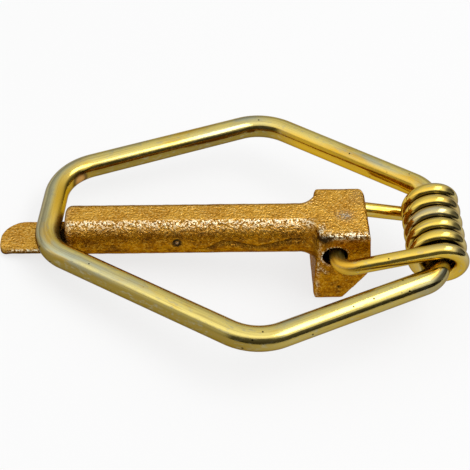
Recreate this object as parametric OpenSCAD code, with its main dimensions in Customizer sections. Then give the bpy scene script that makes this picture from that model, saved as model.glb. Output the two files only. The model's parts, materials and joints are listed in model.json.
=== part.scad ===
// Lynch pin: a forged locking pin, a torsion spring in its head and a wire retaining loop.
// Millimetres, +Z up. The part lies on its lug and on the tip of its tongue, as it comes to rest.

/* [Shank and tongue] */
// diameter of the round shank
shank_d = 8.1; // [6:0.1:14]
// length of the shank from its free end to the head
shank_len = 40.9; // [30:0.1:70]
// rounding of the free end
shank_edge_r = 1.1; // [0.3:0.1:2]
// depth of the flat along the top of the shank
flat_cut = 0.35; // [0.1:0.05:1]
// how far the tongue stands out of the shank's end
tongue_len = 11; // [8:0.05:18]
// width of the tongue
tongue_w = 6.9; // [4:0.1:8]
// thickness of the tongue
tongue_t = 1.5; // [0.8:0.1:3]
// how far the tongue's top lies below the shank's axis
tongue_drop = 1.2; // [0:0.1:2]

/* [Head] */
// length of the head along the shank
head_len = 9.3; // [7:0.1:16]
// width of the head across the shank
head_w = 11.8; // [9:0.1:18]
// how far the lug reaches below the shank's axis
lug_drop = 11.9; // [7:0.1:20]
// bevel at the back of the lug, along the shank
lug_bevel_len = 4.5; // [1:0.1:5.5]
// bevel at the back of the lug, upwards
lug_bevel_h = 7.5; // [2:0.1:8]
// rounding of the head's edges
head_edge_r = 0.9; // [0.3:0.1:1.5]
// rounding of the head's upright corners
head_corner_r = 1.3; // [0.5:0.1:2]
// hollow rounding between the shank and the head
neck_r = 3.2; // [1:0.1:4]
// distance of the cross hole from the head's front
hole_x = 3.1; // [2.8:0.1:6]
// how far the cross hole lies below the shank's axis
hole_drop = 1.2; // [0:0.1:3]

/* [Loop] */
// wire of the loop
loop_wire_d = 4; // [2.5:0.1:6]
// width of the loop at its two wide corners, wire centre to wire centre
loop_w = 52.6; // [40:0.2:90]
// place of the wide corners along the loop, counted from the coil
loop_wide_share = 0.456; // [0.35:0.005:0.6]
// room of the loop's end bar past each side of the shank
bar_room = 4.95; // [4.2:0.05:8]
// gap between the end bar and the shank's end
bar_gap = 0.55; // [0.4:0.01:1.5]
// bend of the wire at the near end of the end bar
bar_bend_r = 6.6; // [4:0.1:8]
// bend of the wire at the far end of the end bar
far_bend_r = 9; // [4:0.1:10]
// bend of the wire at the wide corners
wide_bend_r = 8.8; // [5:0.1:14]
// bend of the wire next to the coil
coil_bend_r = 5; // [4.5:0.1:7]
// sideways lean of the loop within its play
loop_lean = 3.6; // [0:0.1:4]

/* [Spring] */
// wire of the spring
spring_wire_d = 2.6; // [1.5:0.1:3.5]
// play of the loop's wire inside the coil
coil_play = 0.8; // [0.7:0.05:2]
// distance from one turn of the coil to the next
coil_pitch = 2.8; // [2.7:0.05:4.5]
// distance from the cross hole to the axis of the coil
spring_reach = 17; // [15:0.1:26]
// how far the coil's axis lies above the cross hole
coil_rise = -0.5; // [-1:0.1:1.5]
// play of the spring's ends in the cross hole
hole_play = 1.3; // [1:0.05:2.5]
// gap between each leg and the head
leg_gap = 0.65; // [0.65:0.05:1]
// bend of each leg into the cross hole
leg_bend_r = 2.6; // [2:0.1:4]
// sideways lean of the spring within its play
spring_lean = 2.4; // [0:0.1:3]
// sideways slide of the spring within its play, towards the viewer
spring_slide = 0.5; // [0:0.05:0.5]
// extra room at the front of the coil, before the front leg
front_flare = 0.5; // [0:0.05:1]
// room taken off at the back of the coil, before the back leg
back_tuck = 0.2; // [0:0.05:0.2]

/* [Hidden] */
$fn = 48;
// overrun of every cut
over = 1;
// air left between pieces that rest on each other
rest_gap = 0.06;
// slot between the two wire ends that meet inside the coil
butt_gap = 0.3;
// gap between the two ends of the spring inside the cross hole
end_gap = 1.2;
// small bevel at the mouths of the cross hole
mouth_bevel = 0.25;
// how far the wire is rounded over where two lengths of it join
bead = 0.02;
// how far the head's top lies under the flat
head_sink = 0.03;
// half turns of the coil
half_turns = 11;
// how far the shank runs on inside the head
shank_root = 2.5;
// how far the tongue runs on inside the shank
tongue_root = 3;
// how far the tongue's underside stays inside the round of the shank
tongue_relief = 0.6;
// height above the shank's axis of the line that the tongue's underside is rounded about
belly_rise = 2;
// corner of the tongue away from the viewer, as a share of its width
far_corner_share = 0.58;
// corner of the tongue next to the viewer, as a share of its width
near_corner_share = 0.25;
// share of the head's width taken off on each side at the foot of its lug
foot_taper_share = 0.03;
// share of the head's length by which its rear face leans in at the top
rear_taper_share = 0.08;
// part of the bevel's corner that the edge rounding takes up
bevel_corner_share = 0.6;
// place of each leg's turn past the hole's axis, along and down, as shares of the play
front_pull_shares = [0.23, -0.3];
back_pull_shares = [-0.1, -0.58];
// height that the back end gains inside the hole, as a share of the play
back_lift_share = 0.96;
// sides of the coil's wire and steps in each of its half turns
wire_sides = 14;
turn_steps = 13;

shank_r = shank_d / 2;
flat_z = shank_r - flat_cut;
hole_d = spring_wire_d + hole_play;
far_r = far_corner_share * tongue_w;
near_r = near_corner_share * tongue_w;
tongue_under = -(tongue_drop + tongue_t);
belly_half = sqrt(max(over, shank_r * shank_r - tongue_under * tongue_under)) - tongue_relief;
belly_r = norm([belly_half, belly_rise - tongue_under]);

// cross hole and coil axis, from the shank's free end and axis
hole_at = [shank_len + hole_x, 0, -hole_drop];
coil_r = (loop_wire_d + spring_wire_d + coil_play) / 2;
coil_len = half_turns * coil_pitch / 2;
// the coil sits a little behind the middle of its two legs
coil_shift_share = 0.0565;
coil_at = [hole_at[0] + spring_reach, coil_shift_share * coil_len - spring_slide, hole_at[2] + coil_rise];

// legs of the spring: where each one turns into the hole, seen from the coil
leg_y = head_w / 2 + leg_gap + spring_wire_d / 2;
front_pull = front_pull_shares * hole_play;
back_pull = back_pull_shares * hole_play;
function to_spring(p) = [
    p[0] * cos(spring_lean) - p[1] * sin(spring_lean),
    p[0] * sin(spring_lean) + p[1] * cos(spring_lean),
    p[2]
];
front_turn = to_spring(hole_at + [front_pull[0], -leg_y - spring_slide, front_pull[1]] - coil_at);
back_turn = to_spring(hole_at + [back_pull[0], leg_y - spring_slide, back_pull[1]] - coil_at);
front_end_y = -coil_len / 2 - front_flare;
back_end_y = coil_len / 2 - back_tuck;
function reach(e) = norm([e[0], e[2]]);
function leg_len(e) = sqrt(reach(e) * reach(e) - coil_r * coil_r);
function bearing(e) = 180 + atan2(-e[2], -e[0]);
front_wrap = bearing(front_turn) - acos(coil_r / reach(front_turn)) - 90;
back_wrap = 270 - bearing(back_turn) - acos(coil_r / reach(back_turn));
front_skew = atan2(front_end_y - front_turn[1], leg_len(front_turn));
back_skew = atan2(back_end_y - back_turn[1], leg_len(back_turn));
front_end = leg_y + spring_slide - leg_bend_r - end_gap / 2;
back_end = leg_y - spring_slide - leg_bend_r - end_gap / 2;
back_tilt = atan2(back_lift_share * hole_play, back_end + leg_bend_r);

// loop, in its own plane: the middle of the bar inside the coil, then along the loop and across it
bar_z = rest_gap - tongue_drop + loop_wire_d / 2;
loop_run = coil_at[0] + bar_gap + loop_wire_d / 2;
loop_len = norm([loop_run / cos(loop_lean), bar_z - coil_at[2]]);
loop_pitch = asin((bar_z - coil_at[2]) / loop_len);
eye_room_share = 0.167;
eye_half = coil_len * (1 + eye_room_share * 2) / 2;
bar_half = shank_r + bar_room;
wide_half = loop_w / 2;
wide_len = loop_wide_share * loop_len;
near_slope = atan2(wide_half - eye_half, wide_len);
far_slope = atan2(wide_half - bar_half, loop_len - wide_len);
near_side = norm([wide_half - eye_half, wide_len]);
far_side = norm([wide_half - bar_half, loop_len - wide_len]);
coil_turn = 90 - near_slope;
wide_turn = near_slope + far_slope;
bar_turn = 90 - far_slope;
function inset(r, a) = r * tan(a / 2);
// the loop's wire slides a little back inside the coil
loop_at = [coil_at[0], coil_at[1] / 2, coil_at[2]];

// lie of the part on the floor: a line under the tongue's tip and the foot of the lug
foot = [shank_len + head_edge_r, -lug_drop + head_edge_r] - [-tongue_len, tongue_under];
lie = asin(head_edge_r / norm(foot)) - atan2(foot[1], foot[0]);
floor_z = -tongue_len * sin(lie) + tongue_under * cos(lie);
left_x = -tongue_len * cos(lie) + tongue_drop * sin(lie);
coil_side = (coil_len - coil_pitch / 2) / 2 * sin(spring_lean);
right_x = (coil_at[0] + coil_side) * cos(lie) - coil_at[2] * sin(lie) + coil_r + spring_wire_d / 2;
wide_centre = wide_len + wide_bend_r / cos(wide_turn / 2) * sin((near_slope - far_slope) / 2);
mid_y = loop_at[1] + wide_centre * cos(loop_pitch) * sin(loop_lean);

module place() {
    translate([-(left_x + right_x) / 2, -mid_y, -floor_z])
        rotate([0, -lie, 0])
            children();
}

// a straight piece of wire along +Z, then whatever follows it
module wire_run(d, h) {
    cylinder(d = d, h = h);
    translate([0, 0, h]) {
        children();
        if ($children > 0)
            sphere(d = d + 2 * bead);
    }
}

// a bend of the wire from +Z towards +X, then whatever follows it
module wire_bend(d, r, a) {
    translate([r, 0, 0])
        rotate([90, 0, 180])
            rotate_extrude(angle = a)
                translate([r, 0])
                    circle(d = d);
    translate([r, 0, 0])
        rotate([0, a, 0])
            translate([-r, 0, 0]) {
                children();
                sphere(d = d + 2 * bead);
            }
}

// a plate whose corners are rounded about the given points, listed counterclockwise
function side_normal(c, i) = let (e = c[(i + 1) % len(c)] - c[i]) [e[1], -e[0]] / norm(e);
function round_outline(c, r) = [
    for (i = [0 : len(c) - 1])
        for (k = [0, 1])
            c[(i + k) % len(c)] + r * side_normal(c, i)
];
module round_plate(c, r) {
    polygon(round_outline(c, r));
    for (p = c)
        translate(p)
            circle(r = r);
}

module shank() {
    difference() {
        rotate([0, 90, 0])
            union() {
                translate([0, 0, shank_edge_r])
                    cylinder(d = shank_d, h = shank_len + shank_root - shank_edge_r);
                rotate_extrude()
                    intersection() {
                        union() {
                            square([shank_r - shank_edge_r, shank_edge_r]);
                            translate([shank_r - shank_edge_r, shank_edge_r])
                                circle(r = shank_edge_r);
                        }
                        square([shank_r, shank_edge_r]);
                    }
                neck();
            }
        translate([-over, -shank_d, flat_z])
            cube([shank_len + shank_root + 2 * over, 2 * shank_d, shank_d]);
    }
}

// hollow rounding where the shank runs into the head
neck_out_r = max(shank_r + over / 4, min(head_w / 2 - over / 2, shank_r + neck_r));
neck_rise = neck_out_r - shank_r;
neck_len = sqrt(neck_r * neck_r - (neck_r - neck_rise) * (neck_r - neck_rise));
module neck() {
    translate([0, 0, shank_len - neck_len + over / 10])
        rotate_extrude()
            difference() {
                square([neck_out_r, neck_len + shank_root]);
                translate([shank_r + neck_r, 0])
                    circle(r = neck_r);
            }
}

module tongue_outline() {
    translate([far_r - tongue_len, -tongue_w / 2])
        square([tongue_len - far_r + tongue_root, tongue_w]);
    intersection() {
        translate([far_r - tongue_len, tongue_w / 2 - far_r])
            circle(r = far_r);
        translate([-tongue_len - over, -tongue_w / 2])
            square([tongue_len + over, tongue_w]);
    }
    translate([near_r - tongue_len, near_r - tongue_w / 2])
        circle(r = near_r);
    translate([near_r - tongue_len, -tongue_w / 2])
        square([tongue_len - near_r, tongue_w / 2]);
    translate([-tongue_len, near_r - tongue_w / 2])
        square([tongue_len, tongue_w - far_r - near_r]);
}

module tongue() {
    intersection() {
        translate([0, 0, tongue_under])
            linear_extrude(height = tongue_t)
                tongue_outline();
        translate([-tongue_len - over, 0, belly_rise])
            rotate([0, 90, 0])
                cylinder(r = belly_r, h = tongue_len + tongue_root + 2 * over);
    }
}

// outline of the head from the side: along the shank, then up
head_top = flat_z - head_sink;
head_side = [
    [head_edge_r, head_edge_r - lug_drop],
    [head_len - lug_bevel_len - bevel_corner_share * head_edge_r, head_edge_r - lug_drop],
    [head_len - head_edge_r, lug_bevel_h - lug_drop],
    [head_len * (1 - rear_taper_share) - head_edge_r, head_top - head_edge_r],
    [head_edge_r, head_top - head_edge_r]
];
// outline of the head from above
corner_y = head_w / 2 - head_corner_r;
head_plan = [
    [head_corner_r, -corner_y],
    [head_len - head_corner_r, -corner_y],
    [head_len - head_corner_r, corner_y],
    [head_corner_r, corner_y]
];
// outline of the head along the shank: across, then up
top_y = head_w / 2 - head_edge_r;
foot_y = top_y - foot_taper_share * head_w;
head_end = [
    [-foot_y, head_edge_r - lug_drop],
    [foot_y, head_edge_r - lug_drop],
    [top_y, head_top - head_edge_r],
    [-top_y, head_top - head_edge_r]
];

module head() {
    translate([shank_len, 0, 0])
        intersection() {
            translate([0, head_w, 0])
                rotate([90, 0, 0])
                    linear_extrude(height = 2 * head_w)
                        round_plate(head_side, head_edge_r);
            translate([0, 0, -lug_drop - over])
                linear_extrude(height = lug_drop + shank_d)
                    round_plate(head_plan, head_corner_r);
            translate([-over, 0, 0])
                rotate([90, 0, 90])
                    linear_extrude(height = head_len + 2 * over)
                        round_plate(head_end, head_edge_r);
        }
}

module cross_hole() {
    translate(hole_at)
        rotate([90, 0, 0]) {
            cylinder(d = hole_d, h = head_w + 2 * over, center = true);
            for (side = [-1, 1])
                rotate([90 + 90 * side, 0, 0])
                    translate([0, 0, head_w / 2 - mouth_bevel])
                        cylinder(d1 = hole_d, d2 = hole_d + 4 * mouth_bevel, h = 2 * mouth_bevel);
        }
}

module pin() {
    color([0.72, 0.48, 0.16])
        place()
            difference() {
                union() {
                    shank();
                    tongue();
                    head();
                }
                cross_hole();
            }
}

// one side of the loop, from the wire's end inside the coil to the middle of the end bar
module half_loop(end_r) {
    translate([0, butt_gap / 2, 0])
        rotate([-90, 90, 0])
            wire_run(loop_wire_d, eye_half - inset(coil_bend_r, coil_turn) - butt_gap / 2)
                rotate([0, 0, 90])
                    wire_bend(loop_wire_d, coil_bend_r, coil_turn)
                        wire_run(loop_wire_d, near_side - inset(coil_bend_r, coil_turn) - inset(wide_bend_r, wide_turn))
                            wire_bend(loop_wire_d, wide_bend_r, wide_turn)
                                wire_run(loop_wire_d, far_side - inset(wide_bend_r, wide_turn) - inset(end_r, bar_turn))
                                    wire_bend(loop_wire_d, end_r, bar_turn)
                                        wire_run(loop_wire_d, bar_half - inset(end_r, bar_turn));
}

module loop() {
    color([0.78, 0.68, 0.3])
        place()
            translate(loop_at)
                rotate([0, loop_pitch, -loop_lean]) {
                    half_loop(far_bend_r);
                    mirror([0, 1, 0])
                        half_loop(bar_bend_r);
                    translate([-loop_len, 0, 0])
                        sphere(d = loop_wire_d + 2 * bead);
                }
}

// the coil's wire as one sweep, from the end of the back leg round to the start of the front leg
turn_angle = 180 * half_turns;
first_angle = -90 - back_wrap;
last_angle = turn_angle - 90 + front_wrap;
function arc_len(a) = a * PI / 180 * coil_r;
function hermite(t, y0, m0, y1, m1) =
    (1 + 2 * t) * (1 - t) * (1 - t) * y0 + t * (1 - t) * (1 - t) * m0
    + t * t * (3 - 2 * t) * y1 - t * t * (1 - t) * m1;
first_top = coil_len / 2 - coil_pitch / 2 - back_tuck;
last_foot = coil_pitch / 2 - coil_len / 2;
drop = (last_foot - first_top) / arc_len(turn_angle - 360);
function coil_y(a) =
    a < 90
    ? let (w = 180 + back_wrap, l = arc_len(w))
        hermite((a - first_angle) / w, back_end_y, l * tan(back_skew), first_top, l * drop)
    : a > turn_angle - 270
    ? let (w = 180 + front_wrap, l = arc_len(w))
        hermite((a - turn_angle + 270) / w, last_foot, l * drop, front_end_y, -l * tan(front_skew))
    : first_top + (last_foot - first_top) * (a - 90) / (turn_angle - 360);
coil_steps = turn_steps * half_turns;
function coil_angle(i) = first_angle + (last_angle - first_angle) * i / coil_steps;
function coil_point(a) = [coil_r * cos(a), coil_y(a), coil_r * sin(a)];
function unit(v) = v / norm(v);
// direction of the wire at an angle of the coil, taken over a small turn
small_turn = 0.5;
function coil_way(a) =
    let (b = max(first_angle, a - small_turn), c = min(last_angle, a + small_turn))
    unit(coil_point(c) - coil_point(b));
function coil_ring(i) =
    let (a = coil_angle(i), t = coil_way(a), o = [cos(a), 0, sin(a)], n = unit(o - (o * t) * t), b = cross(t, n))
    [for (k = [0 : wire_sides - 1])
        let (q = 360 * k / wire_sides)
        coil_point(a) + spring_wire_d / 2 * (cos(q) * n + sin(q) * b)];
coil_points = [for (i = [0 : coil_steps]) each coil_ring(i)];
coil_faces = concat(
    [[for (k = [0 : wire_sides - 1]) k]],
    [for (i = [0 : coil_steps - 1])
        for (k = [0 : wire_sides - 1])
            for (h = [0, 1])
                let (a = i * wire_sides + k, b = i * wire_sides + (k + 1) % wire_sides)
                h == 0 ? [a, a + wire_sides, b] : [b, a + wire_sides, b + wire_sides]],
    [[for (k = [wire_sides - 1 : -1 : 0]) coil_steps * wire_sides + k]]
);

module coil() {
    polyhedron(points = coil_points, faces = coil_faces, convexity = half_turns);
}

// a leg from the coil to the head: straight run, bend and end in the hole
module leg(wrap, skew, len, turn, tilt, end) {
    rotate([0, wrap, 0])
        rotate([0, 0, 90])
            rotate([0, skew, 0])
                rotate([0, 0, -90]) {
                    sphere(d = spring_wire_d + 2 * bead);
                    wire_run(spring_wire_d, len / cos(skew) - inset(leg_bend_r, turn))
                        rotate([0, 0, tilt - 90])
                            wire_bend(spring_wire_d, leg_bend_r, turn)
                                wire_run(spring_wire_d, end);
                }
}

module spring() {
    color([0.74, 0.62, 0.22])
        place()
            translate(coil_at)
                rotate([0, 0, -spring_lean]) {
                    coil();
                    translate(coil_point(last_angle))
                        rotate([180, 90, 0])
                            leg(front_wrap, front_skew, leg_len(front_turn), 90 + front_skew - spring_lean, 0, front_end);
                    translate(coil_point(first_angle))
                        rotate([0, -90, 0])
                            leg(back_wrap, -back_skew, leg_len(back_turn), 90 + spring_lean - back_skew, back_tilt, back_end);
                }
}

pin();
loop();
spring();
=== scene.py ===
"""Lynch pin: a forged pin, its torsion spring and its wire loop, dressed in yellow zinc.

Shapes are worked out in millimetres in the pin's own frame: x runs along the shank's axis from its free
end to the head, y away from the camera and z up, square to the shank's flat. put() carries them into the
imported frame, in metres.
"""
import json
import math

import bpy
import numpy as np
from mathutils import Matrix, Vector, noise


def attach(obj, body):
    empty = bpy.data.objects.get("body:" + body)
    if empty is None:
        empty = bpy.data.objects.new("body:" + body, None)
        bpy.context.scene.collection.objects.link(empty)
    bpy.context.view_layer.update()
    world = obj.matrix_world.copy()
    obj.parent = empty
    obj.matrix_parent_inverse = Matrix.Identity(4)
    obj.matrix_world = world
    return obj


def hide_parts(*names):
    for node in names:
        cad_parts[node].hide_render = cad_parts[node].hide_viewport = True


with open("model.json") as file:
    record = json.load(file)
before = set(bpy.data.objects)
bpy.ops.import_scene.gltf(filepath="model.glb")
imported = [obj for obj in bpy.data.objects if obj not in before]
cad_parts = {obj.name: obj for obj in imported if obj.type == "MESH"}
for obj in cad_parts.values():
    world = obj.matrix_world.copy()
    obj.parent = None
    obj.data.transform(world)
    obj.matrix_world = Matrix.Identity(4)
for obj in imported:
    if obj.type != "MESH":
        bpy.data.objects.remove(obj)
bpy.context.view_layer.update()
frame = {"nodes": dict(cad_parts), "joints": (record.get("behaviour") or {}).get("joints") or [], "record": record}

MM = 0.001

# The pin's own frame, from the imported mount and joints
MOUNT_FROM_END = 19.75
shank_mount = frame["record"]["mounts"][0]
joints = {joint["name"]: joint for joint in frame["joints"]}
ALONG = -Vector(shank_mount["axis"]).normalized()
ACROSS = Vector((0, 1, 0))
UP = ALONG.cross(ACROSS)
AXES = np.array([ALONG, ACROSS, UP])
FREE_END = np.array(Vector(shank_mount["pos_m"]) - ALONG * MOUNT_FROM_END * MM)


def put(points):
    """Points of the pin's frame, in millimetres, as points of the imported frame, in metres."""
    return FREE_END + np.asarray(points, float) @ AXES * MM


def take(points):
    """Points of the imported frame, in metres, as points of the pin's frame, in millimetres."""
    return (np.asarray(points, float) - FREE_END) @ AXES.T / MM


def new_object(name, data):
    """A new object, linked into the scene."""
    obj = bpy.data.objects.new(name, data)
    bpy.context.scene.collection.objects.link(obj)
    return obj


# Pin
SHANK_R = 4.05
SHANK_LEN = 40.9
FLAT_Z = 3.7
HEAD_W = 11.8
HEAD_LEN = 9.3
HEAD_END = SHANK_LEN + HEAD_LEN
HEAD_CORNER_R = 1.3
LUG_DROP = 11.9
TONGUE_LEN = 11.0
TONGUE_W = 6.9
TONGUE_TOP = -1.2

# Loop: wire, corners and bends in the plane of the loop, counted from the bar inside the coil
LOOP_WIRE_D = 4.0
LOOP_W = 52.6
WIDE_SHARE = 0.456
BAR_HALF = SHANK_R + 4.95
BAR_BEND_R = 6.6
FAR_BEND_R = 9.0
WIDE_BEND_R = 8.8
EYE_BEND_R = 5.0
EYE_ROOM_SHARE = 0.167
LOOP_LEAN = 3.6
BAR_X = -2.55
BAR_Z = 0.86

# Spring: wire, coil and legs
SPRING_WIRE_D = 2.6
COIL_PLAY = 0.8
COIL_PITCH = 2.8
HALF_TURNS = 11
COIL_SHIFT_SHARE = 0.0565
SPRING_REACH = 17.0
COIL_RISE = -0.5
SPRING_LEAN = 2.4
SPRING_SLIDE = 0.5
FRONT_FLARE = 0.5
BACK_TUCK = 0.2
LEG_GAP = 0.65
LEG_BEND_R = 2.6
END_GAP = 1.2
HOLE_PLAY = 1.3
FRONT_PULL = np.array([0.23, 0, -0.3]) * HOLE_PLAY
BACK_PULL = np.array([-0.1, 0, -0.58]) * HOLE_PLAY
BACK_LIFT = 0.96 * HOLE_PLAY

HOLE = take(joints["spring_swing"]["pos_m"])
HOLE_R = (SPRING_WIRE_D + HOLE_PLAY) / 2
COIL_R = (LOOP_WIRE_D + SPRING_WIRE_D + COIL_PLAY) / 2
COIL_LEN = HALF_TURNS * COIL_PITCH / 2
COIL = HOLE + np.array([SPRING_REACH, COIL_SHIFT_SHARE * COIL_LEN - SPRING_SLIDE, COIL_RISE])
EYE = take(joints["loop_swing"]["pos_m"])
LEG_Y = HEAD_W / 2 + LEG_GAP + SPRING_WIRE_D / 2

# Camera, in the pin's frame: degrees and millimetres
VIEW_ELEVATION = 45.0
VIEW_YAW = -1.33
VIEW_ROLL = 0.26
VIEW_DISTANCE = 170.04
VIEW_RIGHT = 27.78
VIEW_UP = -0.815
VIEW_LENS = 78.99
VIEW_SENSOR = 36.0
VIEW_NEAR = 10.0
VIEW_FAR = 10000.0


def make_camera():
    elevation, yaw, roll = (math.radians(a) for a in (VIEW_ELEVATION, VIEW_YAW, VIEW_ROLL))
    level = math.cos(elevation)
    back = Vector((math.sin(yaw) * level, -math.cos(yaw) * level, math.sin(elevation)))
    flat_right = Vector((math.cos(yaw), math.sin(yaw), 0))
    flat_up = back.cross(flat_right)
    right = math.cos(roll) * flat_right + math.sin(roll) * flat_up
    up = math.cos(roll) * flat_up - math.sin(roll) * flat_right
    eye = back * VIEW_DISTANCE + right * VIEW_RIGHT + up * VIEW_UP
    turn = np.array([right, up, back]) @ AXES
    data = bpy.data.cameras.new("camera")
    data.lens = VIEW_LENS
    data.sensor_width = VIEW_SENSOR
    data.clip_start = VIEW_NEAR * MM
    data.clip_end = VIEW_FAR * MM
    camera = new_object("camera", data)
    camera.matrix_world = Matrix.Translation(put(eye)) @ Matrix(turn.T.tolist()).to_4x4()
    bpy.context.scene.camera = camera


# Wire paths and sweeps

BEND_STEP = 0.1
RING_STEP = 0.25
LOOP_SIDES = 64
SPRING_SIDES = 40
# How far the wires' skin stays inside the solids, so that bends and flats stay inside them too
LOOP_INSET = 0.01
SPRING_INSET = 0.04


def unit(v):
    return v / np.linalg.norm(v)


def fillet(before, corner, after, radius):
    """Points of the arc that rounds a corner of a path."""
    a = unit(before - corner)
    b = unit(after - corner)
    half = math.acos(np.clip(a @ b, -1, 1)) / 2
    setback = radius / math.tan(half)
    centre = corner + unit(a + b) * radius / math.sin(half)
    start = corner + a * setback - centre
    end = corner + b * setback - centre
    angle = math.pi - 2 * half
    count = max(3, int(angle * radius / BEND_STEP))
    return [
        centre + (math.sin((1 - t) * angle) * start + math.sin(t * angle) * end) / math.sin(angle)
        for t in np.linspace(0, 1, count)
    ]


def even(points, closed=False):
    """The same path with evenly spaced points, and the distance of each along it."""
    points = np.asarray(points)
    if closed:
        points = np.vstack([points, points[:1]])
    run = np.concatenate([[0], np.cumsum(np.linalg.norm(np.diff(points, axis=0), axis=1))])
    keep = np.concatenate([[True], np.diff(run) > 1e-9])
    at = np.linspace(0, run[-1], int(run[-1] / RING_STEP), endpoint=not closed)
    return np.stack([np.interp(at, run[keep], points[keep, k]) for k in range(3)], axis=1), at


def ways(path, closed):
    """Direction of a path at each of its points."""
    if closed:
        d = np.roll(path, -1, axis=0) - np.roll(path, 1, axis=0)
    else:
        d = np.gradient(path, axis=0)
    return d / np.linalg.norm(d, axis=1, keepdims=True)


def sweep(name, path, run, radius, sides, first_side, closed=False, dent=None):
    """A round wire along a path. Its "wire" attribute holds each point's place on the straight wire, in mm.

    dent, if given, tells how far the skin lies inside the round, from the path and the ways out of it.
    """
    way = ways(path, closed)
    side = np.empty_like(path)
    side[0] = unit(first_side - (first_side @ way[0]) * way[0])
    for i in range(1, len(path)):
        side[i] = unit(side[i - 1] - (side[i - 1] @ way[i]) * way[i])
    third = np.cross(way, side)
    angle = np.linspace(0, 2 * math.pi, sides, endpoint=False)
    cos, sin = np.cos(angle), np.sin(angle)
    out = cos[None, :, None] * side[:, None] + sin[None, :, None] * third[:, None]
    r = np.full((len(path), sides), radius)
    if dent is not None:
        r = r - dent(path, out)
    points = (path[:, None] + r[..., None] * out).reshape(-1, 3)
    straight = np.stack(np.broadcast_arrays(run[:, None], radius * cos, radius * sin), axis=-1)

    rings = len(path)
    i = np.arange(rings if closed else rings - 1)[:, None]
    j = (i + 1) % rings
    k = np.arange(sides)
    m = (k + 1) % sides
    quads = np.stack([i * sides + m, j * sides + m, j * sides + k, i * sides + k], axis=-1)
    faces = quads.reshape(-1, 4).tolist()
    if not closed:
        faces.append(list(range(sides)))
        faces.append(list(range((rings - 1) * sides, rings * sides))[::-1])
    mesh = bpy.data.meshes.new(name)
    mesh.from_pydata(put(points).tolist(), [], faces)
    mesh.update()
    for polygon in mesh.polygons:
        polygon.use_smooth = len(polygon.vertices) == 4
    wire = mesh.attributes.new("wire", "FLOAT_VECTOR", "POINT")
    wire.data.foreach_set("vector", straight.astype(np.float32).ravel())
    return new_object(name, mesh)


def loop_path():
    """Points round the loop's wire, from the middle of the bar inside the coil, and the plane's normal."""
    lean = math.radians(LOOP_LEAN)
    climb = BAR_Z - EYE[2]
    length = math.hypot((EYE[0] - BAR_X) / math.cos(lean), climb)
    pitch = math.asin(climb / length)
    eye_half = COIL_LEN * (1 + 2 * EYE_ROOM_SHARE) / 2
    half = [
        (0, eye_half, EYE_BEND_R),
        (WIDE_SHARE * length, LOOP_W / 2, WIDE_BEND_R),
        (length, BAR_HALF, FAR_BEND_R),
    ]
    corners = half + [(length, -BAR_HALF, BAR_BEND_R)] + [(u, -v, r) for u, v, r in half[1::-1]]
    level = math.cos(pitch)
    along = np.array([-level * math.cos(lean), level * math.sin(lean), math.sin(pitch)])
    across = np.array([math.sin(lean), math.cos(lean), 0])
    at = [EYE + u * along + v * across for u, v, _ in corners]
    path = [EYE]
    for n, (_, _, radius) in enumerate(corners):
        path += fillet(at[n - 1], at[n], at[(n + 1) % len(at)], radius)
    return path, np.cross(along, across)


def spring_path():
    """Points along the spring's wire: far end in the hole, far leg, coil, near leg, near end in the hole."""
    lean = math.radians(SPRING_LEAN)
    turn = np.array([
        [math.cos(lean), -math.sin(lean), 0],
        [math.sin(lean), math.cos(lean), 0],
        [0, 0, 1],
    ])
    front_y = LEG_Y + SPRING_SLIDE
    rear_y = LEG_Y - SPRING_SLIDE
    front = turn @ (HOLE + FRONT_PULL - [0, front_y, 0] - COIL)
    rear = turn @ (HOLE + BACK_PULL + [0, rear_y, 0] - COIL)
    front_stop = front + turn @ np.array([0, front_y - END_GAP / 2, 0])
    rear_stop = rear + turn @ np.array([0, END_GAP / 2 - rear_y, BACK_LIFT])
    first_y = COIL_LEN / 2 - BACK_TUCK
    last_y = -COIL_LEN / 2 - FRONT_FLARE
    first_top = (COIL_LEN - COIL_PITCH) / 2 - BACK_TUCK
    last_foot = (COIL_PITCH - COIL_LEN) / 2

    def reach(e):
        return math.hypot(e[0], e[2])

    def bearing(e):
        return math.pi + math.atan2(-e[2], -e[0])

    def leg(e):
        return math.sqrt(reach(e) ** 2 - COIL_R ** 2)

    front_wrap = bearing(front) - math.acos(COIL_R / reach(front)) - math.pi / 2
    rear_wrap = 1.5 * math.pi - bearing(rear) - math.acos(COIL_R / reach(rear))
    front_skew = (last_y - front[1]) / leg(front)
    rear_skew = (first_y - rear[1]) / leg(rear)
    total = math.pi * HALF_TURNS
    first = -math.pi / 2 - rear_wrap
    last = total - math.pi / 2 + front_wrap
    middle = total - 2 * math.pi
    drop = (last_foot - first_top) / (middle * COIL_R)

    def ease(t, y0, m0, y1, m1):
        """From y0 with slope m0 to y1 with slope m1, as t goes from 0 to 1."""
        return ((1 + 2 * t) * (1 - t) ** 2 * y0 + t * (1 - t) ** 2 * m0
                + t * t * (3 - 2 * t) * y1 - t * t * (1 - t) * m1)

    def height(a):
        """Place along the coil's axis at an angle of the winding; the end turns run out into the legs."""
        if a < math.pi / 2:
            w = math.pi + rear_wrap
            t = (a - first) / w
            return ease(t, first_y, w * COIL_R * rear_skew, first_top, w * COIL_R * drop)
        if a > total - 1.5 * math.pi:
            w = math.pi + front_wrap
            t = (a - total + 1.5 * math.pi) / w
            return ease(t, last_foot, w * COIL_R * drop, last_y, -w * COIL_R * front_skew)
        return first_top + (last_foot - first_top) * (a - math.pi / 2) / middle

    turns = [
        np.array([COIL_R * math.cos(a), height(a), COIL_R * math.sin(a)])
        for a in np.linspace(first, last, int((last - first) * COIL_R / BEND_STEP))
    ]
    path = [rear_stop] + fillet(rear_stop, rear, turns[0], LEG_BEND_R) + turns
    path += fillet(turns[-1], front, front_stop, LEG_BEND_R) + [front_stop]
    return np.array(path) @ turn + COIL


# Materials

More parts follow.
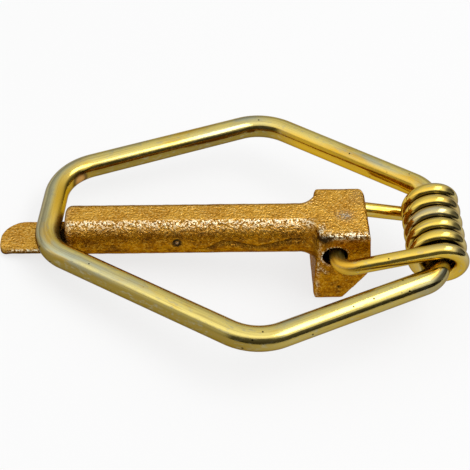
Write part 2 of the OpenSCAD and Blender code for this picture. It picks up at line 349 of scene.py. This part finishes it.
def fresh_tree(owner):
    """The emptied node tree of a material or world."""
    owner.use_nodes = True
    owner.node_tree.nodes.clear()
    return owner.node_tree


def add(tree, kind, inputs=None, **settings):
    """A new node; an input is a value, or the output of another node."""
    made = tree.nodes.new(kind)
    for key, value in settings.items():
        setattr(made, key, value)
    for key, value in (inputs or {}).items():
        if isinstance(value, bpy.types.NodeSocket):
            tree.links.new(value, made.inputs[key])
        else:
            made.inputs[key].default_value = value
    return made


def mixed(tree, factor, a, b):
    """Colour a turning to colour b as factor goes from 0 to 1."""
    return add(tree, "ShaderNodeMix", {0: factor, 6: a, 7: b}, data_type="RGBA").outputs[2]


def noise_at(tree, where, scale, detail=2.0, rough=0.5):
    """Noise between 0 and 1; scale is one number, or one for each axis, in cycles per millimetre."""
    if not isinstance(scale, (int, float)):
        where = add(tree, "ShaderNodeVectorMath", {0: where, 1: scale}, operation="MULTIPLY").outputs[0]
        scale = 1.0
    made = add(tree, "ShaderNodeTexNoise", {
        "Vector": where, "Scale": scale, "Detail": detail, "Roughness": rough,
    })
    return made.outputs["Fac"]


def ramp(tree, value, low, high, to_low=0.0, to_high=1.0):
    """value stretched so that low gives to_low and high gives to_high, with soft ends."""
    made = add(tree, "ShaderNodeMapRange", {
        "Value": value, "From Min": low, "From Max": high, "To Min": to_low, "To Max": to_high,
    }, interpolation_type="SMOOTHSTEP")
    return made.outputs[0]


def combine(tree, a, b, operation="MULTIPLY"):
    """Two numbers put together, as their product unless another operation is named."""
    return add(tree, "ShaderNodeMath", {0: a, 1: b}, operation=operation).outputs[0]


def mask(tree, name):
    """A mask that give() stored on the mesh."""
    return add(tree, "ShaderNodeAttribute", attribute_name=name).outputs["Fac"]


def rgb(r, g, b):
    return (r, g, b, 1.0)


def metal(name, tint):
    material = bpy.data.materials.new(name)
    tree = fresh_tree(material)
    shader = add(tree, "ShaderNodeBsdfPrincipled", {"Metallic": 1.0, "Specular Tint": tint})
    add(tree, "ShaderNodeOutputMaterial", {"Surface": shader.outputs[0]})
    return material, tree, shader


# Zinc of each wire: where it looks up, its grey patches, which also go where the cool mask lies, its orange
# blooms, which also go on as a painted warm reflection, and painted shade where it looks down
LOOP_ZINC = dict(
    yellow=rgb(0.7, 0.57, 0.17),
    grey=rgb(0.41, 0.42, 0.29),
    orange=rgb(0.68, 0.4, 0.02),
    shade_below=rgb(0.23, 0.155, 0.022),
)
SPRING_ZINC = dict(
    yellow=rgb(0.76, 0.56, 0.1),
    grey=rgb(0.46, 0.43, 0.28),
    orange=rgb(0.7, 0.38, 0.03),
    shade_below=rgb(0.5, 0.32, 0.03),
)
WIRE_TINT = rgb(0.5, 0.44, 0.4)
WIRE_ROUGH = 0.1
WIRE_WORN_ROUGH = 0.22
WIRE_DULL_ROUGH = 0.35
WIRE_BUMP = 0.06
DRAW_LINES = rgb(0.3, 0.2, 0.05)
RUBBED_SPOTS = rgb(0.36, 0.35, 0.24)
BRUISED = rgb(0.6, 0.32, 0.09)
# black of pits, and of painted shade in gaps and grooves
PITS_AND_SHADE_BLACK = rgb(0.018, 0.013, 0.008)


def zinc_wire(name, yellow, grey, orange, shade_below):
    """Drawn wire in yellow zinc: grey-green and orange patches, draw lines, rubbed spots and small pits, with
    painted shade and painted reflections laid on by the masks.
    """
    material, tree, shader = metal(name, WIRE_TINT)
    wire = add(tree, "ShaderNodeAttribute", attribute_name="wire").outputs["Vector"]
    patches = noise_at(tree, wire, (0.06, 0.33, 0.33))
    blooms = noise_at(tree, wire, (0.11, 0.42, 0.42), detail=3.0)
    mottle = noise_at(tree, wire, (1.0, 2.4, 2.4), detail=3.0)
    lines = noise_at(tree, wire, (0.1, 5.0, 5.0))
    cells = add(tree, "ShaderNodeTexVoronoi", {"Vector": wire, "Scale": 0.8})
    cell_tone = add(tree, "ShaderNodeSeparateColor", {0: cells.outputs["Color"]}).outputs[0]
    pit = combine(tree, ramp(tree, cells.outputs["Distance"], 0.17, 0.08), ramp(tree, cell_tone, 0.8, 0.84))

    colour = mixed(tree, ramp(tree, patches, 0.54, 0.74), yellow, grey)
    colour = mixed(tree, ramp(tree, blooms, 0.53, 0.72, 0.0, 0.8), colour, orange)
    # painted shade: darker where the wire looks down
    colour = mixed(tree, mask(tree, "under"), colour, shade_below)
    # greyer where the cool mask says; on the spring a painted dim reflection
    colour = mixed(tree, mask(tree, "cool"), colour, grey)
    colour = mixed(tree, ramp(tree, lines, 0.48, 0.7, 0.0, 0.4), colour, DRAW_LINES)
    colour = mixed(tree, ramp(tree, mottle, 0.52, 0.7, 0.0, 0.45), colour, RUBBED_SPOTS)
    # painted warm reflection: orange where the mask says
    colour = mixed(tree, mask(tree, "warm"), colour, orange)
    colour = mixed(tree, mask(tree, "mark"), colour, BRUISED)
    # black of pits, of the bruise's rim and of painted shade
    colour = mixed(tree, combine(tree, pit, mask(tree, "stain"), "MAXIMUM"), colour, PITS_AND_SHADE_BLACK)
    tree.links.new(colour, shader.inputs["Base Color"])

    dull = combine(tree, mask(tree, "dull"), WIRE_DULL_ROUGH)
    worn = ramp(tree, mottle, 0.35, 0.75, WIRE_ROUGH, WIRE_WORN_ROUGH)
    tree.links.new(combine(tree, worn, dull, "ADD"), shader.inputs["Roughness"])

    height = combine(tree, lines, combine(tree, mottle, 0.6), "ADD")
    height = combine(tree, height, combine(tree, pit, 3.0), "SUBTRACT")
    bump = add(tree, "ShaderNodeBump", {"Height": height, "Strength": 0.15, "Distance": WIRE_BUMP * MM})
    tree.links.new(bump.outputs[0], shader.inputs["Normal"])
    return material


# Forged skin: faces that look up, in clear and clouded places, and the crests of their grain
FORGED_TINT = rgb(0.4, 0.3, 0.14)
TOP_CLEAR = rgb(0.74, 0.39, 0.055)
TOP_CLOUDED = rgb(0.59, 0.285, 0.037)
TOP_CREST = rgb(0.88, 0.64, 0.23)
# The same for its sides, darker as painted shade, with patches of dark scale and of amber
SIDE_CLEAR = rgb(0.43, 0.175, 0.005)
SIDE_CLOUDED = rgb(0.33, 0.125, 0.004)
SIDE_CREST = rgb(0.56, 0.33, 0.05)
SIDE_SCALE = rgb(0.15, 0.055, 0.008)
SIDE_AMBER = rgb(0.5, 0.24, 0.012)
# Hollows of the grain, and what wear and dirt leave; the pale crests of worn edges and their dark hollows are also
# a painted highlight
HOLLOWS = rgb(0.15, 0.06, 0.008)
EDGE_HOLLOWS = rgb(0.12, 0.055, 0.012)
EDGE_CREST = rgb(0.88, 0.82, 0.6)
BARE_GREY = rgb(0.3, 0.3, 0.26)
# dirt, and painted shade in corners, gaps and the hole
DIRT_AND_SHADE = rgb(0.035, 0.022, 0.01)
FORGED_BUMP = 0.23


def forged(name):
    """Forged skin in yellow zinc: bright and dark grain, clouds, sides darkened as painted shade, pale worn rims
    that are also a painted highlight, dirt and painted shade, and grey.
    """
    material, tree, shader = metal(name, FORGED_TINT)
    place = add(tree, "ShaderNodeTexCoord").outputs["Object"]
    where = add(tree, "ShaderNodeVectorMath", {0: place, 1: (1 / MM,) * 3}, operation="MULTIPLY").outputs[0]
    grain = noise_at(tree, where, 2.6, rough=0.6)
    pepper = noise_at(tree, where, 4.4, detail=1.0)
    scale = noise_at(tree, where, 0.9)
    clouded = ramp(tree, noise_at(tree, where, 0.33, detail=3.0), 0.36, 0.66)
    edge = mask(tree, "edge")

    top = mixed(tree, clouded, TOP_CLEAR, TOP_CLOUDED)
    top = mixed(tree, ramp(tree, grain, 0.5, 0.62, 0.0, 0.35), top, TOP_CREST)
    side = mixed(tree, clouded, SIDE_CLEAR, SIDE_CLOUDED)
    side = mixed(tree, ramp(tree, scale, 0.5, 0.66, 0.0, 0.65), side, SIDE_SCALE)
    side = mixed(tree, ramp(tree, scale, 0.48, 0.34, 0.0, 0.6), side, SIDE_AMBER)
    side = mixed(tree, ramp(tree, grain, 0.52, 0.64, 0.0, 0.45), side, SIDE_CREST)
    # painted shade: the side colours take over as the skin turns from facing up
    colour = mixed(tree, mask(tree, "shade"), top, side)
    colour = mixed(tree, ramp(tree, grain, 0.46, 0.34, 0.0, 0.5), colour, HOLLOWS)
    for amount, share, tone in (
        (edge, ramp(tree, grain, 0.5, 0.42), EDGE_HOLLOWS),
        (mask(tree, "grey"), ramp(tree, pepper, 0.35, 0.6), BARE_GREY),
        (edge, ramp(tree, grain, 0.46, 0.56), EDGE_CREST),
        (mask(tree, "stain"), ramp(tree, grain, 0.7, 0.45, 0.7, 1.0), DIRT_AND_SHADE),
    ):
        colour = mixed(tree, combine(tree, amount, share), colour, tone)
    tree.links.new(colour, shader.inputs["Base Color"])
    tree.links.new(ramp(tree, grain, 0.3, 0.7, 0.36, 0.2), shader.inputs["Roughness"])

    height = combine(tree, grain, combine(tree, pepper, 0.3), "ADD")
    bump = add(tree, "ShaderNodeBump", {"Height": height, "Strength": 1.0, "Distance": FORGED_BUMP * MM})
    tree.links.new(bump.outputs[0], shader.inputs["Normal"])
    return material


# Pieces

def finish_piece(obj, body, node, material):
    obj.data.materials.clear()
    obj.data.materials.append(material)
    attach(obj, body)
    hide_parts(node)


def bell(distance, width):
    """1 at no distance, falling away over the width."""
    return np.exp(-(distance / width) ** 2)


def rise(value, start, span):
    """0 up to start, then rising to 1 over the span."""
    return np.clip((value - start) / span, 0, 1)


def fall(value, end, span):
    """1, then falling over the span to 0 at end."""
    return np.clip((end - value) / span, 0, 1)


def mesh_points(mesh):
    """Points and normals of a mesh; the points in the units of the mesh."""
    found = []
    for key in ("co", "normal"):
        values = np.empty(len(mesh.vertices) * 3, np.float32)
        mesh.vertices.foreach_get(key, values)
        found.append(values.reshape(-1, 3).astype(float))
    return found


def wire_points(obj):
    """Points of a swept wire and their ways out of it, in the pin's frame."""
    points, out = mesh_points(obj.data)
    return take(points), out @ AXES.T


def set_points(mesh, points):
    mesh.vertices.foreach_set("co", points.astype(np.float32).ravel())


def give(mesh, **values):
    """Point attributes of a mesh, one number each."""
    for key, value in values.items():
        value = np.broadcast_to(value, len(mesh.vertices)).astype(np.float32)
        mesh.attributes.new(key, "FLOAT", "POINT").data.foreach_set("value", value)


# Oval bruise inside the loop's far bend: half its length in mm and half its width in radians round the wire
BRUISE_AT = np.array([0.7, 12.0, 0.9])
BRUISE_FACE = np.array([0.3, -0.95, -0.05])
BRUISE_HALF_LEN = 1.7
BRUISE_HALF_TURN = 0.8
BRUISE_SIDE_Y = BRUISE_AT[1] - 3
BRUISE_DEPTH = 0.12
NO_BRUISE = 9
# Painted shade on the bar where it meets the shank's end
GAP_SHADE_AT = np.array([-0.3, -0.3, 0.1])
GAP_SHADE_HALF = np.array([0.7, 3.5, 1.3])


def bruise(points, out):
    """Distance of each point of the loop's skin from the middle of the bruise; its rim is at 1."""
    turn = np.arccos(np.clip(out @ unit(BRUISE_FACE), -1, 1))
    oval = np.hypot((points - BRUISE_AT)[..., 0] / BRUISE_HALF_LEN, turn / BRUISE_HALF_TURN)
    return np.where(points[..., 1] > BRUISE_SIDE_Y, oval, NO_BRUISE)


def make_loop():
    path, normal = loop_path()
    path, run = even(path, closed=True)
    radius = LOOP_WIRE_D / 2

    def dent(path, out):
        return BRUISE_DEPTH * np.clip(1.2 - bruise(path[:, None] + out * radius, out), 0, 0.7)

    obj = sweep("loop_wire", path, run, radius - LOOP_INSET, LOOP_SIDES, normal, closed=True, dent=dent)
    points, out = wire_points(obj)
    x, y, _ = points.T
    out_x, out_y, out_z = out.T
    bar = fall(x, 5, 4)
    far_arm = rise(x, 34, 6) * rise(y, 6, 4)
    near_arm = rise(x, 28, 8) * (y < 0)
    # painted warm reflection: orange on the bar's side facing the shank and on the far arm's front
    warm = bar * rise(out_x, -0.05, 0.4) * bell(y - 5, 7) + far_arm * rise(-out_y, 0.3, 0.4)
    # greyer on the bar's side turned away from the shank
    cool = bar * fall(out_x, 0.25, 0.4) * rise(y, -5, 5)
    # painted shade: darker as the skin turns down, less on the near arm
    under = fall(out_z, 0.84, 0.36) * (1 - 0.4 * near_arm)
    rubbed = bar * rise(out_x, 0, 0.3) * bell(y, 5)
    # painted shade in the gap at the shank's end
    gap_shade = (1.25 - np.linalg.norm((points - GAP_SHADE_AT) / GAP_SHADE_HALF, axis=1)) * rise(out_x, 0.74, 0.14)
    oval = bruise(points, out)
    hit = fall(oval, 1.1, 0.25)
    rim = bell(oval - 1, 0.13)
    give(
        obj.data,
        under=0.92 * under,
        mark=hit,
        dull=np.maximum(0.6 * hit, 0.9 * rubbed),
        stain=np.maximum(np.clip(2.5 * gap_shade, 0, 0.97), 0.75 * rim),
        warm=0.85 * np.clip(warm, 0, 1),
        cool=0.75 * cool,
    )
    finish_piece(obj, "loop", "loop", zinc_wire("zinc_loop", **LOOP_ZINC))


def make_spring():
    path, run = even(spring_path())
    radius = SPRING_WIRE_D / 2
    obj = sweep("spring_wire", path, run, radius - SPRING_INSET, SPRING_SIDES, np.array([0.0, 0, 1]))
    points, out = wire_points(obj)
    out_x, _, out_z = out.T
    lean = math.radians(SPRING_LEAN)
    axis = np.array([math.sin(lean), math.cos(lean), 0])
    from_coil = points - COIL
    from_axis = np.linalg.norm(from_coil - (from_coil @ axis)[:, None] * axis, axis=1)
    wound = from_axis < COIL_R + radius + 0.05
    from_hole = np.linalg.norm((points - HOLE)[:, [0, 2]], axis=1)

    # painted shade in the grooves between the turns, but not on the coil's two ends
    at = np.repeat(run, SPRING_SIDES)
    turn = 2 * math.pi * COIL_R
    facing = out @ axis
    groove = rise(facing, 0.72, 0.2) * (at > at[wound].min() + turn)
    groove += rise(-facing, 0.72, 0.2) * (at < at[wound].max() - turn)
    # painted dim reflection: greyer on the turns' far and right sides
    far_skin = rise(facing, -0.05, 0.5) * rise(out_x, -0.45, 0.4)
    dim_reflection = np.maximum(far_skin, np.clip(1.2 * out_x - 0.2, 0, 1))
    give(
        obj.data,
        # painted shade: darker as the skin turns down
        under=0.85 * fall(out_z, 0.55, 0.4),
        mark=0,
        dull=0.75 * fall(from_hole, 4.5, 2.5),
        stain=0.9 * wound * groove,
        # painted warm reflection: orange on the left sides, most on the legs
        warm=(0.6 - 0.4 * wound) * np.clip(-1.3 * out_x, 0, 1),
        cool=0.85 * wound * dim_reflection,
    )
    finish_piece(obj, "spring", "spring", zinc_wire("zinc_spring", **SPRING_ZINC))


def noise_of(points, scale, offset):
    """Smooth noise from -1 to 1 at each point, in cycles per millimetre."""
    shift = Vector((offset, 2 * offset, 3 * offset))
    return np.array([noise.noise(Vector(p) * scale + shift) for p in points])


# Wavy crease that the dies left along the near side: distance from the free end, height over the axis
CREASE = (
    (1.5, 0.2), (12, -0.2), (23, -1.1), (25.5, 0.6), (27.3, 0.6),
    (29, 0), (31.5, -0.7), (34, 0), (37, 0.95), (40, 0.9),
)
# How strong it is there: distance from the free end, share
CREASE_DEPTH = ((1.5, 0), (3, 0.45), (8, 0.45), (10, 0.12), (21, 0.12), (24, 1), (38, 1), (40, 0))
# Marks of the near side and the head's front: distance from the free end, height over the axis
PIT_AT = (18.3, 0.55)
NICK_AT = (17.0, -1.0)
SCALE_AT = (5.5, -1.2)
DARK_PATCH_AT = (41.9, 2.7)
SPECKS_AT = ((44.7, 2.2), (46.4, 2.6), (48.8, 1.7), (41.6, -1.2), (41.4, -2.2))
SCAR = ((41.2, -3.0), (42.8, -5.1))
LUG_PIT_AT = (45.1, -8.6)
# Bare grey patches of the head's top: distance from the free end, distance across
MIDDLE_PATCH_AT = (45.6, -1.1)
REAR_PATCH_AT = (48.3, 3.6)


class Skin:
    """The pin's skin: where it is and faces, how far its marks raise it in mm, and masks of its looks."""

    def __init__(self, points, normals):
        self.x, self.y, self.z = points.T
        self.near = fall(normals[:, 1], 0, 0.5)
        self.near_soon = fall(normals[:, 1], 0, 1 / 3)
        self.far = rise(normals[:, 1], 0, 0.5)
        self.tongue = fall(self.x, 0, 0.4)
        self.head = rise(self.x, SHANK_LEN, 0.4)
        self.front = self.near * self.head
        self.top = rise(normals[:, 2], 0, 0.5) * self.head
        self.blotch = 0.5 + 0.5 * noise_of(points, 0.7, 1.3)
        self.scale = np.clip(4 * noise_of(points, 1.1, 5.2) - 0.4, 0, 1)
        self.raised = np.zeros(len(points))
        self.masks = {key: np.zeros(len(points)) for key in ("edge", "stain", "grey")}
        # painted shade: the skin darkens as it turns from facing up
        self.masks["shade"] = fall(normals[:, 2], 0.9, 0.45)

    def mark(self, key, amount):
        """A mask that grows to the amount wherever it is less."""
        self.masks[key] = np.maximum(self.masks[key], amount)

    def from_spot(self, spot, stretch=1.0):
        """Distance from a spot of the near side, or from an oval one that is stretched along the pin."""
        return np.hypot((self.x - spot[0]) / stretch, self.z - spot[1])

    def from_line(self, ends):
        """Distance from a straight mark of the near side."""
        (x0, z0), (x1, z1) = ends
        dx, dz = x1 - x0, z1 - z0
        t = np.clip(((self.x - x0) * dx + (self.z - z0) * dz) / (dx * dx + dz * dz), 0, 1)
        return np.hypot(self.x - x0 - t * dx, self.z - z0 - t * dz)


def mark_shank(skin):
    x, y, z, near = skin.x, skin.y, skin.z, skin.near

    # crease of the dies on the near side, and a plain flash line on the far one
    line = z - np.interp(x, *zip(*CREASE))
    depth = np.interp(x, *zip(*CREASE_DEPTH)) * near * (x < SHANK_LEN)
    skin.raised += depth * (0.1 * bell(line + 0.9, 0.5) - 0.28 * bell(line, 0.36))
    skin.mark("stain", 0.5 * depth * bell(line, 0.42))
    skin.raised += 0.06 * skin.far * bell(z, 0.25) * ((x > 2) & (x < SHANK_LEN - 1))

    # pit with a dark ring round a grey floor, a nick beside it and dark scale near the free end
    pit = skin.from_spot(PIT_AT)
    skin.raised += near * (0.1 * bell(pit, 0.22) - 0.3 * bell(pit - 0.52, 0.26))
    skin.mark("stain", 1.3 * near * bell(pit - 0.54, 0.24))
    skin.mark("grey", near * bell(pit, 0.36))
    skin.mark("stain", 0.9 * near * bell(skin.from_spot(NICK_AT, stretch=1.6), 0.2))
    scale = skin.scale * bell(x - SCALE_AT[0], 4.5) * bell(z - SCALE_AT[1], 0.9)
    skin.mark("stain", 0.6 * near * scale)

    # worn edges of the flat, also a painted highlight where the key light catches them, most on the near side, by
    # the angle round the axis in degrees
    turn = np.degrees(np.arctan2(np.abs(y), z))
    shank = rise(x, 0, 0.5) * fall(x, SHANK_LEN, 0.5)
    worn_and_highlit = (0.3 + 0.6 * near) * (0.6 + 0.4 * skin.blotch)
    skin.mark("edge", shank * worn_and_highlit * rise(turn, 22, 4) * bell(np.clip(turn - 31, 0, None), 12))

    # free end: bare grey rim, painted shade where the loop's bar shades it
    end = x > -0.2
    skin.mark("grey", 0.75 * end * fall(x, 1.54, 1.1) * skin.blotch)
    skin.mark("stain", 0.4 * end * fall(x, 0.375, 0.25) * bell(y + 0.5, 3.2))


def mark_tongue(skin):
    """Chipped near corner, a painted highlight along the near top rim, painted shade on the near side face and at
    the root by the shank. Returns where the chip is.
    """
    x, y, z, tongue = skin.x, skin.y, skin.z, skin.tongue
    from_edge = y + TONGUE_W / 2
    chip = tongue * bell(np.hypot((x + TONGUE_LEN - 0.6) / 1.3, from_edge - 0.4), 0.85)
    bright = bell(np.hypot(from_edge - 0.12, z - TONGUE_TOP + 0.05), 0.22)
    skin.mark("stain", 0.7 * chip)
    # painted highlight along the near top rim
    skin.mark("edge", tongue * bright * (chip < 0.5))
    # painted shade on the near side face
    skin.mark("stain", 0.85 * tongue * skin.near * fall(z, TONGUE_TOP - 0.2, 0.15))
    # painted shade at the root by the shank, where the loop's bar shades it
    skin.mark("stain", 1.5 * tongue * rise(x, -1.5, 0.4) * bell(y + 0.3, 3.2))
    return chip


def mark_head(skin):
    x, y, z, head = skin.x, skin.y, skin.z, skin.head
    from_front = y + HEAD_W / 2

    # worn front edge, also a painted highlight, following the round of the corner, and the worn upright edge below
    # that corner
    round_x = SHANK_LEN + HEAD_CORNER_R
    round_y = HEAD_CORNER_R - HEAD_W / 2
    inside = np.where(x < round_x, HEAD_CORNER_R - np.hypot(x - round_x, y - round_y), from_front)
    worn = bell(np.hypot(inside - 0.42, z - FLAT_Z + 0.36), 0.62)
    skin.mark("edge", head * worn * fall(x, HEAD_END - 0.4, 0.5))
    upright = bell(np.hypot(x - SHANK_LEN - 0.4, from_front - 0.4), 0.45)
    skin.mark("edge", 0.5 * head * upright * skin.blotch * (z < 2))

    # painted shade at the neck, a dark patch and specks
    neck = bell(x - SHANK_LEN + 0.2, 0.5) * (y < -3.4) * fall(z, 2.6, 0.6) * rise(z, -4.5, 0.6)
    skin.mark("stain", 0.6 * neck)
    dark_patch = skin.near_soon * bell(skin.from_spot(DARK_PATCH_AT, stretch=1.5), 1.05)
    skin.mark("stain", 1.2 * dark_patch * rise(x, SHANK_LEN - 0.2, 0.2))
    for spot in SPECKS_AT:
        skin.mark("stain", 0.7 * skin.front * bell(skin.from_spot(spot), 0.26))

    # cross hole: worn rim, brightest on its upper left as a painted highlight, and painted shade inside
    from_hole = skin.from_spot((HOLE[0], HOLE[2]))
    upper_left = rise(HOLE[0] - x + z - HOLE[2], -1.8, 3)
    skin.mark("edge", skin.front * upper_left * bell(from_hole - HOLE_R - 0.3, 0.17))
    bore = (from_hole < HOLE_R + 0.2) & (np.abs(y) < HEAD_W / 2 - 0.2)
    skin.mark("stain", 0.7 * head * bore)

    # bare grey patches on the top
    middle_patch = np.hypot(x - MIDDLE_PATCH_AT[0], (y - MIDDLE_PATCH_AT[1]) / 0.8)
    rear_patch = np.hypot(x - REAR_PATCH_AT[0], y - REAR_PATCH_AT[1])
    skin.mark("grey", 0.9 * skin.top * bell(middle_patch, 1.2))
    skin.mark("grey", 0.6 * skin.top * skin.blotch * bell(rear_patch, 1.6))
    skin.mark("stain", 0.5 * skin.top * skin.blotch * bell(rear_patch, 1.3))


def mark_lug(skin):
    """Raised scar, paler along its ridge and darker beside it, and a pit."""
    scar = skin.from_line(SCAR)
    skin.raised += 0.14 * skin.front * bell(scar, 0.22)
    skin.mark("edge", 0.8 * skin.front * bell(scar, 0.22) * skin.blotch)
    skin.mark("stain", 0.6 * skin.front * bell(scar - 0.45, 0.2) * skin.blotch)
    pit = skin.from_spot(LUG_PIT_AT)
    skin.raised -= 0.22 * skin.front * bell(pit, 0.22)
    skin.mark("stain", 0.9 * skin.front * bell(pit, 0.24))


# Worn rounds: the lug's front bottom edge, and the head's rear corner away from the camera
LUG_EDGE_R = 1.7
REAR_CORNER_R = 2.3
# The head's rear face leans forward by this much from the lower height to the upper one
REAR_LEAN = 0.744
REAR_LEAN_Z = (-4.4, 3.67)


def rounded(points, past, inside, radius):
    """Points brought in to a round, where inside says so; past is how far each is from the round's axis."""
    far = np.linalg.norm(past, axis=1)
    over = np.where(inside, np.maximum(far - radius, 0), 0)
    return points - past * (over / np.maximum(far, 1e-6))[:, None]


def wear_rounds(points):
    x, y, z = points.T
    past_x = x - SHANK_LEN - LUG_EDGE_R
    past_z = z + LUG_DROP - LUG_EDGE_R
    past = np.stack([past_x, 0 * y, past_z], axis=1)
    points = rounded(points, past, (past_x < 0) & (past_z < 0), LUG_EDGE_R)
    rear = HEAD_END - np.interp(z, REAR_LEAN_Z, (0, REAR_LEAN))
    past_x = x - rear + REAR_CORNER_R
    past_y = y - HEAD_W / 2 + REAR_CORNER_R
    past = np.stack([past_x, past_y, 0 * z], axis=1)
    return rounded(points, past, (past_x > 0) & (past_y > 0), REAR_CORNER_R)


VOXEL = 0.16
SMOOTH_FACTOR = 0.5
SMOOTH_ROUNDS = 5
# Waves of the forged skin: height in mm, and scale and offset of each noise
WAVE = 0.03
WAVES = ((0.3, 3.1), (0.9, 7.7))
PIN_INSET = 0.05
CHIP_DEPTH = 0.6
CHIP_REACH = 1.4


def make_pin():
    """The forged skin: the pin's solid, meshed evenly, softened, worn and marked."""
    source = frame["nodes"]["pin"].data.copy()
    set_points(source, take(mesh_points(source)[0]))
    rough = new_object("pin_rough", source)
    remesh = rough.modifiers.new("remesh", "REMESH")
    remesh.mode = "VOXEL"
    remesh.voxel_size = VOXEL
    smooth = rough.modifiers.new("smooth", "SMOOTH")
    smooth.factor = SMOOTH_FACTOR
    smooth.iterations = SMOOTH_ROUNDS
    mesh = bpy.data.meshes.new_from_object(rough.evaluated_get(bpy.context.evaluated_depsgraph_get()))
    bpy.data.objects.remove(rough)

    points, normals = mesh_points(mesh)
    points = wear_rounds(points)
    skin = Skin(points, normals)
    mark_shank(skin)
    chip = mark_tongue(skin)
    mark_head(skin)
    mark_lug(skin)
    raised = skin.raised + WAVE * sum(noise_of(points, *wave) for wave in WAVES) - PIN_INSET
    sunk = CHIP_DEPTH * chip * rise(skin.z, TONGUE_TOP - CHIP_REACH, CHIP_REACH)
    set_points(mesh, put(points + normals * raised[:, None] - sunk[:, None] * [0, 0, 1]))
    give(mesh, **skin.masks)
    mesh.update()
    for polygon in mesh.polygons:
        polygon.use_smooth = True
    finish_piece(new_object("pin_forged", mesh), "pin", "pin", forged("zinc_forged"))


# Stage

FLOOR_HALF = 4.0
FLOOR_PAPER = rgb(0.8, 0.8, 0.8)
FLOOR_WHITE = rgb(1, 1, 1)
FLOOR_SHARE = 0.75


def shown_ray(tree):
    """1 for rays from the camera and for reflected or refracted ones, 0 for light that fills the scene."""
    rays = add(tree, "ShaderNodeLightPath").outputs
    seen = combine(tree, rays["Is Camera Ray"], rays["Is Glossy Ray"], "MAXIMUM")
    return combine(tree, seen, rays["Is Transmission Ray"], "MAXIMUM")


def make_floor():
    """Pale paper that keeps the shadow, whitened by FLOOR_SHARE where it is looked at."""
    mesh = bpy.data.meshes.new("floor")
    h = FLOOR_HALF
    mesh.from_pydata([(-h, -h, 0), (h, -h, 0), (h, h, 0), (-h, h, 0)], [], [(0, 1, 2, 3)])
    floor = new_object("floor", mesh)
    material = bpy.data.materials.new("floor_white")
    tree = fresh_tree(material)
    paper = add(tree, "ShaderNodeBsdfDiffuse", {"Color": FLOOR_PAPER})
    glow = add(tree, "ShaderNodeEmission", {"Color": FLOOR_WHITE, "Strength": 1.0})
    share = combine(tree, shown_ray(tree), FLOOR_SHARE)
    both = add(tree, "ShaderNodeMixShader", {0: share, 1: paper.outputs[0], 2: glow.outputs[0]})
    add(tree, "ShaderNodeOutputMaterial", {"Surface": both.outputs[0]})
    mesh.materials.append(material)


# Brightness of the studio from the horizon in front, over the top, to the horizon behind
STUDIO = (
    (0.0, 0.1), (0.24, 0.12), (0.29, 1.3), (0.36, 1.5), (0.5, 1.2),
    (0.64, 0.95), (0.8, 0.75), (0.9, 0.55), (1.0, 0.45),
)
STUDIO_STRENGTH = 2.0
# Brightness of the wall on the left, and the ways across and along between which it comes up
LEFT_WALL = 0.84
LEFT_ACROSS = (-0.5, -0.85)
LEFT_ALONG = (0.5, 0.1)
# Share of the light that is left on the right, and the ways across between which it goes down
RIGHT_SHARE = 0.15
RIGHT_ACROSS = (0.62, 0.86)


def make_world():
    """A studio that is bright overhead and on the left, softer behind and dim in front and on the right."""
    world = bpy.data.worlds.new("studio")
    bpy.context.scene.world = world
    tree = fresh_tree(world)
    way = add(tree, "ShaderNodeTexCoord").outputs["Generated"]
    across, along, up = add(tree, "ShaderNodeSeparateXYZ", {0: way}).outputs
    swing = combine(tree, up, combine(tree, along, -1.0), "ARCTAN2")
    levels = add(tree, "ShaderNodeValToRGB", {0: combine(tree, swing, math.pi, "DIVIDE")})
    stops = levels.color_ramp.elements
    while len(stops) < len(STUDIO):
        stops.new(0.5)
    for stop, (at, level) in zip(stops, STUDIO):
        stop.position = at
        stop.color = rgb(*[level / STUDIO_STRENGTH] * 3)
    left_wall = ramp(tree, across, *LEFT_ACROSS, 0.0, LEFT_WALL / STUDIO_STRENGTH)
    left_wall = combine(tree, left_wall, ramp(tree, along, *LEFT_ALONG))
    level = combine(tree, levels.outputs[0], left_wall, "MAXIMUM")
    level = combine(tree, level, ramp(tree, across, *RIGHT_ACROSS, 1.0, RIGHT_SHARE))
    studio = add(tree, "ShaderNodeBackground", {"Color": level, "Strength": STUDIO_STRENGTH})
    add(tree, "ShaderNodeOutputWorld", {"Surface": studio.outputs[0]})


# Softbox over the part, in metres and watts
KEY_AT = Vector((0.15, -0.02, 0.335))
KEY_WIDTH = 0.3
KEY_DEPTH = 0.12
KEY_WATTS = 0.4


def make_lamp():
    data = bpy.data.lights.new("key", "AREA")
    data.shape = "RECTANGLE"
    data.size = KEY_WIDTH
    data.size_y = KEY_DEPTH
    data.energy = KEY_WATTS
    lamp = new_object("key", data)
    lamp.location = KEY_AT
    lamp.rotation_euler = (-KEY_AT).to_track_quat("-Z", "Y").to_euler()


make_camera()
make_loop()
make_spring()
make_pin()
make_floor()
make_world()
make_lamp()
bpy.context.scene.view_settings.view_transform = "Standard"
